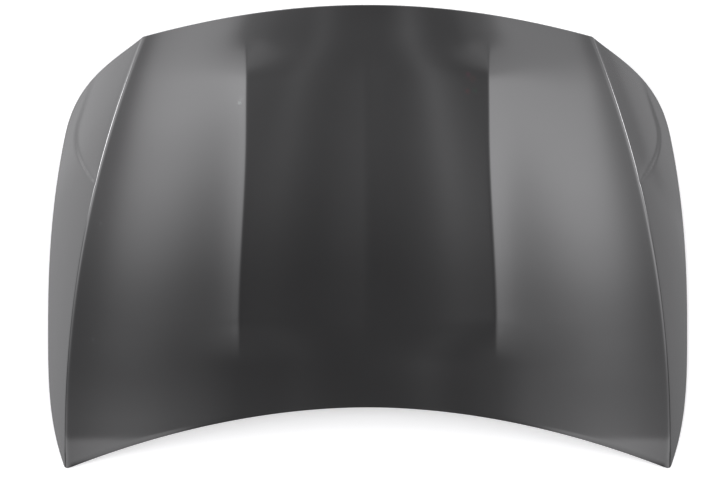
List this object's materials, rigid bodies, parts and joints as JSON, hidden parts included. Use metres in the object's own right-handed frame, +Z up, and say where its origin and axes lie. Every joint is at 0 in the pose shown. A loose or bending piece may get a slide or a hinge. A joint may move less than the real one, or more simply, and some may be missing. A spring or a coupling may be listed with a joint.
{
  "type": "car bonnet",
  "caption": "Pressed steel car bonnet with a raised middle, side creases and a hemmed, ribbed inner panel, in dark primer.",
  "frame": {"origin": "on the floor under the middle of the bonnet, lying skin side up", "axes": "+X across the car, +Y from the windscreen to the nose, +Z up out of the skin"},
  "size_m": [1.6184, 1.166, 0.1376],
  "materials": {
    "primer": "semi-gloss",
    "zinc": "satin",
    "mastic": "matt"
  },
  "bodies": {
    "root": {"outer_panel": "primer", "inner_panel": "primer", "striker_reinforcement": "primer", "striker_plate": "zinc", "striker_loop": "zinc", "striker_bolt_left": "zinc", "striker_weld_nut_left": "zinc", "striker_bolt_right": "zinc", "striker_weld_nut_right": "zinc", "hinge_reinforcement_left": "primer", "strut_reinforcement_left": "primer", "strut_weld_nut_left": "zinc", "hinge_reinforcement_right": "primer", "strut_reinforcement_right": "primer", "strut_weld_nut_right": "zinc", "hinge_weld_nut_left_inner": "zinc", "hinge_weld_nut_left_outer": "zinc", "hinge_weld_nut_right_inner": "zinc", "hinge_weld_nut_right_outer": "zinc", "mastic_dab_left_1": "mastic", "mastic_dab_right_1": "mastic", "mastic_dab_left_2": "mastic", "mastic_dab_right_2": "mastic", "mastic_dab_left_3": "mastic", "mastic_dab_right_3": "mastic", "mastic_dab_left_4": "mastic", "mastic_dab_right_4": "mastic", "mastic_dab_left_5": "mastic", "mastic_dab_right_5": "mastic", "mastic_dab_left_6": "mastic", "mastic_dab_right_6": "mastic", "mastic_dab_left_7": "mastic", "mastic_dab_right_7": "mastic", "mastic_dab_left_8": "mastic", "mastic_dab_right_8": "mastic", "mastic_dab_left_9": "mastic", "mastic_dab_right_9": "mastic"}
  },
  "joints": []
}
